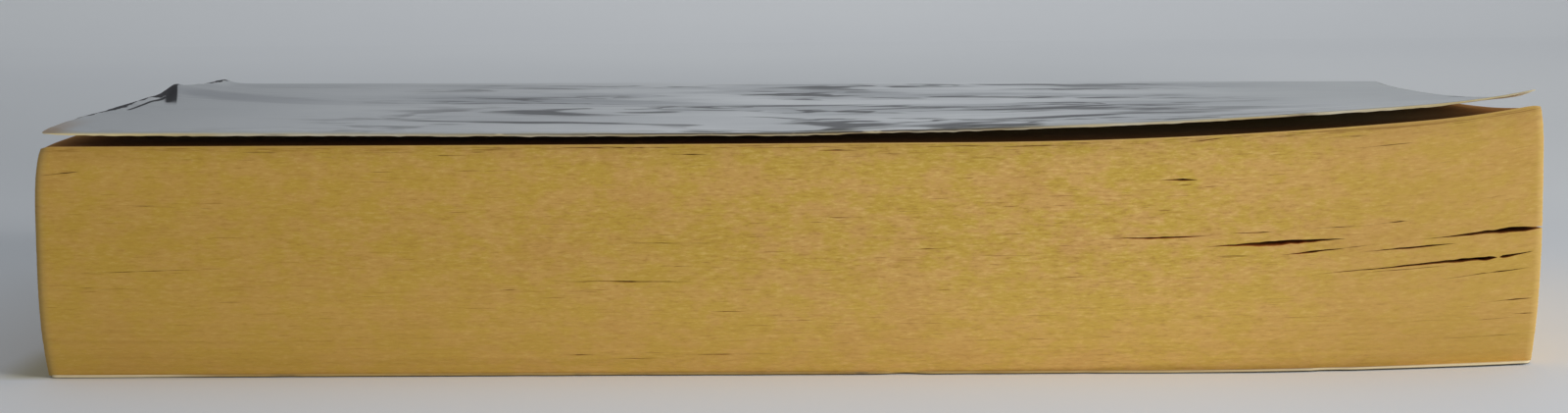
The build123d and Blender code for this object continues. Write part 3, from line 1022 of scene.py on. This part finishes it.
def smoky_drawing(tree, place, across, colour):
    """Smoke, washes and strokes over the middle of the front, fainter near the fore edge."""
    busy = product(
        tree,
        rise(tree, across["X"], -64.0, -34.0, 0.1, 1.0),
        rise(tree, across["X"], 74.0, 36.0),
        rise(tree, across["Y"], 49.5, 47.0),
    )
    washed = product(tree, rise(tree, across["Y"], -30.0, 20.0, 0.4, 1.0), busy)
    smoke = rise(tree, swells(tree, place, (0.022, 0.05, 1.0), 3.0, 0.6), 0.42, 0.62)
    colour = laid_over(tree, colour, (product(tree, smoke, washed, 0.55), (118, 122, 128)))
    for size, width, wash, drawn_out in strokes:
        drawing = stretched(tree, place, (drawn_out, 1.0, 1.0))
        drawn = place_group(tree, pencil_drift, Place=drawing, Size=size, Width=width)
        haze = product(tree, drawn["Haze"], washed, wash)
        line = product(tree, drawn["Line"], busy)
        colour = laid_over(tree, colour, (haze, (104, 109, 118)), (line, (26, 26, 34)))
    for scuff in scuffs:
        mark = product(tree, near_line(tree, place, scuff, 0.35, 0.5), 0.9)
        colour = laid_over(tree, colour, (mark, (50, 50, 58)))
    return colour


def handled_stretch(tree, along):
    """Mask of the middle stretch of the fore edge, where fingers have left it grubby."""
    broken = rise(tree, cloud(tree, along, 0.16, detail=3.0), 0.3, 0.42)
    begun = rise(tree, along, -60.0, -4.0)
    ended = rise(tree, along, 36.0, 24.0)
    return product(tree, begun, ended, broken, 0.85)


def printed_face(name, front):
    """Satin grey-blue print with broad painted light and shade, rubbed at its edges. The front has
    smoky drifts and old creases, with painted shade at the creases.
    """
    look, tree = new_look(name)
    place = stored(tree, "sheet")
    across = axes_of(tree, place)
    wear = axes_of(tree, stored(tree, "wear"))
    marks = place_group(tree, paper_fibre, Place=place, Stain_size=30.0)
    # Broad tones along the print are painted light and shade: lighter over the middle and towards the
    # fore edge there, darker again towards the head and darkest at the tail
    paler = product(tree, rise(tree, across["X"], 10.0, 60.0), rise(tree, across["Y"], 5.0, -45.0), 0.8)
    colour = laid_over(
        tree,
        printed(199, 200, 201),
        (rise(tree, across["X"], -44.0, 0.0), (226, 227, 228)),
        (rise(tree, across["X"], 24.0, 74.0), (196, 198, 198)),
        (rise(tree, across["X"], -50.0, -90.0), (170, 172, 174)),
        (paler, (218, 219, 220)),
        (product(tree, marks["Stain"], 0.35), (172, 175, 178)),
    )
    if front:
        colour = smoky_drawing(tree, place, across, colour)
    rubbed = place_group(tree, rubbed_edge, Place=place, Edge=wear["X"], Width=1.0)
    ends = place_group(tree, rubbed_edge, Place=place, Edge=wear["Y"], Width=0.3)
    near_corner = sums(tree, "ADD", wear["X"], wear["Y"])
    at_tail = rise(tree, across["X"], 0.0, -60.0, 0.0, 0.7)
    blunted = product(tree, rise(tree, near_corner, 7.0, 1.0), at_tail)
    soiled = product(tree, rise(tree, wear["Y"], 3.6, 0.8), rise(tree, wear["X"], 18.0, 5.0), at_tail)
    colour = laid_over(
        tree,
        colour,
        (product(tree, rubbed["Soft"], 0.3), (184, 182, 172)),
        (product(tree, rubbed["Bare"], 0.85), (200, 193, 168)),
        (product(tree, ends["Bare"], 0.7), (140, 138, 132)),
        (blunted, (176, 160, 134)),
        (soiled, (150, 124, 98)),
    )
    rough = rise(tree, rubbed["Soft"], 0.0, 1.0, 0.42, 0.75)
    if front:
        grubby = product(tree, rise(tree, wear["X"], 0.75, 0.45), handled_stretch(tree, across["X"]))
        # Painted shade along the soft bend, fading towards the middle of the book
        fade = rise(tree, across["X"], -48.0, -80.0, 0.0, 0.4)
        bend_shade = product(tree, near_line(tree, place, soft_bend, 1.5, 4.0), fade)
        # The dark facet and crack at the creased corner are partly dark print and partly painted shade
        corner = darkened_corner(tree, place, wear["Y"], across["Y"])
        corner = product(tree, corner, rise(tree, across["X"], -70.0, -76.0, 0.0, 0.95))
        colour = laid_over(tree, colour, (grubby, (54, 50, 52)), (bend_shade, (104, 106, 116)))
        colour = laid_over(tree, colour, (corner, (26, 22, 29)))
        rough = sums(tree, "MAXIMUM", rough, corner)
    surface(tree, colour, rough, marks["Fibre"], strength=0.15, depth=0.04)
    return look


def bare_card(name, light, dark, overlays):
    """Uncoated card between two shades. Overlays gives the layers that lie over them: stains, painted
    light and painted shade.
    """
    look, tree = new_look(name)
    place = stored(tree, "sheet")
    marks = place_group(tree, paper_fibre, Place=place, Stain_size=14.0)
    colour = laid_over(
        tree,
        mixed(tree, marks["Stain"], printed(*light), printed(*dark)),
        (product(tree, marks["Fibre"], 0.12), (120, 100, 66)),
        *overlays(tree, place),
    )
    surface(tree, colour, 0.8, marks["Fibre"], strength=0.3, depth=0.05, specular=0.3)
    return look


def inside_stains_and_light(tree, place):
    """Inside the cover: browned beside the trimmed edges, and lightened near the head's front corner as
    painted light.
    """
    wear = axes_of(tree, stored(tree, "wear"))
    from_edge = sums(tree, "MINIMUM", wear["X"], wear["Y"])
    at_head = rise(tree, axes_of(tree, place)["X"], 66.0, 80.0)
    # Painted light near the head's front corner
    painted_light_tip = product(tree, at_head, rise(tree, wear["X"], 24.0, 8.0))
    return (rise(tree, from_edge, 10.0, 0.0, 0.0, 0.6), (150, 104, 54)), (painted_light_tip, (244, 230, 194))


def smear(tree, place):
    """Old smears along a trimmed edge, as a layer."""
    smeared = swells(tree, place, (0.09, 0.09, 0.0), 4.0, 0.6)
    return rise(tree, smeared, 0.54, 0.64, 0.0, 0.6), (92, 82, 66)


def front_rim_stains(tree, place):
    """The front's trimmed edge: grubby in the middle, sooty below, and paler at the tail."""
    across = axes_of(tree, place)
    handled = handled_stretch(tree, across["X"])
    return (
        smear(tree, place),
        (product(tree, handled, 0.5), (140, 126, 98)),
        (rise(tree, across["X"], -66.0, -80.0, 0.0, 0.7), (224, 202, 140)),
        (product(tree, rise(tree, across["Z"], 0.5, 0.3), handled), (44, 31, 17)),
    )


def back_rim_stains_and_shade(tree, place):
    """The back's trimmed edge: darkened beside the table as painted shade, and paler towards both ends.
    """
    across = axes_of(tree, place)
    to_head = rise(tree, across["X"], 20.0, 80.0, 0.0, 0.8)
    to_tail = rise(tree, across["X"], -64.0, -76.0, 0.0, 0.75)
    # Painted shade on the half beside the table
    lower = rise(tree, across["Z"], 0.36, 0.16)
    return (
        smear(tree, place),
        (sums(tree, "ADD", to_head, to_tail), (222, 208, 172)),
        (product(tree, lower, rise(tree, across["X"], -80.0, -62.0, 0.2, 0.9)), (44, 31, 17)),
    )


inside_card = bare_card("inside_of_cover", (214, 205, 182), (202, 188, 152), inside_stains_and_light)
front_rim = bare_card("front_rim", (192, 184, 160), (178, 160, 114), front_rim_stains)
back_rim = bare_card("back_rim", (176, 147, 86), (152, 120, 60), back_rim_stains_and_shade)
front_cover = card_piece(
    "front_cover", front_lines, [printed_face("front_print", True), inside_card, front_rim], False
)
back_cover = card_piece(
    "back_cover", back_lines, [printed_face("back_print", False), inside_card, back_rim], True
)
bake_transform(front_cover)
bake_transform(back_cover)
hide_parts("front_cover", "cover_spine")
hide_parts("back_cover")

# The table and backdrop
# A pale sheet that lies under the book and sweeps up far behind it. It swells softly below
# the curled corner of the back cover. Its shades are placed in metres.

under_card = 0.07           # how far the swell stays below the curled corner
swell_reach = 40            # and how far it runs out beside the book


def sweep_look():
    """Matt pale paper for the table and backdrop, with painted light and a painted shadow on the table.
    The camera sees through it from behind.
    """
    look, tree = new_look("pale_sweep")
    place = add(tree, "ShaderNodeTexCoord").outputs["Object"]
    soft = cloud(tree, place, 3.0, detail=2.0)
    x, y, _ = axes_of(tree, place)
    # Painted light on the table in front of the book's middle
    middle = product(
        tree,
        rise(tree, x, -0.085, -0.02),
        rise(tree, x, 0.08, 0.03),
        rise(tree, y, 0.0, -0.06),
        0.7,
    )
    # Painted light on the table behind the book's right end
    beyond = product(
        tree,
        rise(tree, y, 0.05, 0.16),
        rise(tree, y, 0.7, 0.35),
        rise(tree, x, 0.06, 0.16),
    )
    # Painted shadow beside the book's tail
    beside = product(
        tree,
        rise(tree, x, -0.0965, -0.0895),
        rise(tree, y, -0.052, -0.048),
        rise(tree, x, -0.05, -0.08, 0.0, 0.8),
        rise(tree, y, -0.015, -0.036),
    )
    colour = laid_over(
        tree,
        mixed(tree, rise(tree, soft, 0.3, 0.7), printed(223, 224, 226), printed(227, 228, 229)),
        # Lighter towards the front as painted light
        (rise(tree, y, 0.25, -0.06), (236, 237, 240)),
        (middle, (248, 247, 248)),
        (beyond, (242, 242, 242)),
        (beside, (190, 182, 148)),
    )
    surface(tree, colour, 0.9)
    behind = add(tree, "ShaderNodeNewGeometry").outputs["Backfacing"]
    seen = add(tree, "ShaderNodeLightPath").outputs["Is Camera Ray"]
    solid = sums(tree, "SUBTRACT", 1.0, product(tree, behind, seen))
    fill(tree, tree.nodes["Principled BSDF"].inputs["Alpha"], solid)
    return look


def sheet_swell(x, y):
    """Height of the sheet: just below the curled corner, and falling away round it."""
    under_x, under_y = np.minimum(x, cover_end), np.maximum(y, cover_fore)
    away = np.hypot(x - under_x, y - under_y)
    below = np.maximum(0.0, corner_rise(under_x, under_y) - under_card)
    return below * np.exp(-(away / swell_reach) ** 2)


def make_sweep():
    """Flat table that curves up into an upright backdrop."""
    bend_y, bend_radius = 700, 500
    x_line = [-3000, -300, -100, 20, *range(40, 201, 8), 300, 3000]
    y_line = [-1200, -400, *range(-170, 31, 8), 100, 300, bend_y]
    x, y = (grid.ravel() for grid in np.meshgrid(x_line, y_line, indexing="ij"))
    table = np.stack([x, y, sheet_swell(x, y)], axis=1)
    faces = grid_faces(np.arange(len(x)).reshape(len(x_line), len(y_line)))
    new_piece("table", table, faces, [sweep_look()])
    turn = np.radians(np.linspace(0, 90, 19))
    outline = np.stack([bend_y + bend_radius * np.sin(turn), bend_radius * (1 - np.cos(turn))], axis=1)
    outline = np.concatenate([outline, [(bend_y + bend_radius, 1600)]])
    places = [(side, y, z) for y, z in outline for side in (-3000, 3000)]
    faces = [[2 * n, 2 * n + 1, 2 * n + 3, 2 * n + 2] for n in range(len(outline) - 1)]
    new_piece("backdrop", places, faces, [sweep_look()])


make_sweep()

# Light
# A soft lamp to the right and in front, a weaker one on the backdrop, and even light from
# all round.


def lamp(name, at, towards, size, power):
    """A soft square lamp aimed at a point, all in metres and watts."""
    data = bpy.data.lights.new(name, "AREA")
    data.size = size
    data.energy = power
    made = bpy.data.objects.new(name, data)
    made.location = at
    made.rotation_euler = (Vector(towards) - Vector(at)).to_track_quat("-Z", "Y").to_euler()
    bpy.context.scene.collection.objects.link(made)


lamp("key", (0.54, -0.40, 0.20), (0.02, -0.03, 0.01), 0.3, 3.5)
lamp("backdrop_lamp", (0.04, 0.7, 0.6), (0.04, 1.45, -0.06), 0.5, 1.0)
world = bpy.data.worlds.new("room")
world.use_nodes = True
world.node_tree.nodes["Background"].inputs["Color"].default_value = (0.87, 0.93, 0.985, 1.0)
world.node_tree.nodes["Background"].inputs["Strength"].default_value = 0.375
bpy.context.scene.world = world
bpy.context.scene.view_settings.view_transform = "Standard"

# Camera
# It looks at the fore edge from just above, a little to the right of the book's middle,
# through a lens that fills the picture with the book.

eye = Vector((0.0083, -0.3819, 0.0564))
yaw, pitch, roll = radians(-1.434), radians(6.258), radians(-0.484)
ahead = Vector((np.sin(yaw) * np.cos(pitch), np.cos(yaw) * np.cos(pitch), -np.sin(pitch)))
level_right = Vector((np.cos(yaw), -np.sin(yaw), 0))
level_up = level_right.cross(ahead)
right = np.cos(roll) * level_right + np.sin(roll) * level_up
up = -np.sin(roll) * level_right + np.cos(roll) * level_up
camera = bpy.data.objects.new("camera", bpy.data.cameras.new("camera"))
camera.data.lens = 65.6
camera.data.sensor_width = 36
camera.data.clip_start = 0.01
camera.matrix_world = Matrix.Translation(eye) @ Matrix((right, up, -ahead)).transposed().to_4x4()
bpy.context.scene.collection.objects.link(camera)
bpy.context.scene.camera = camera
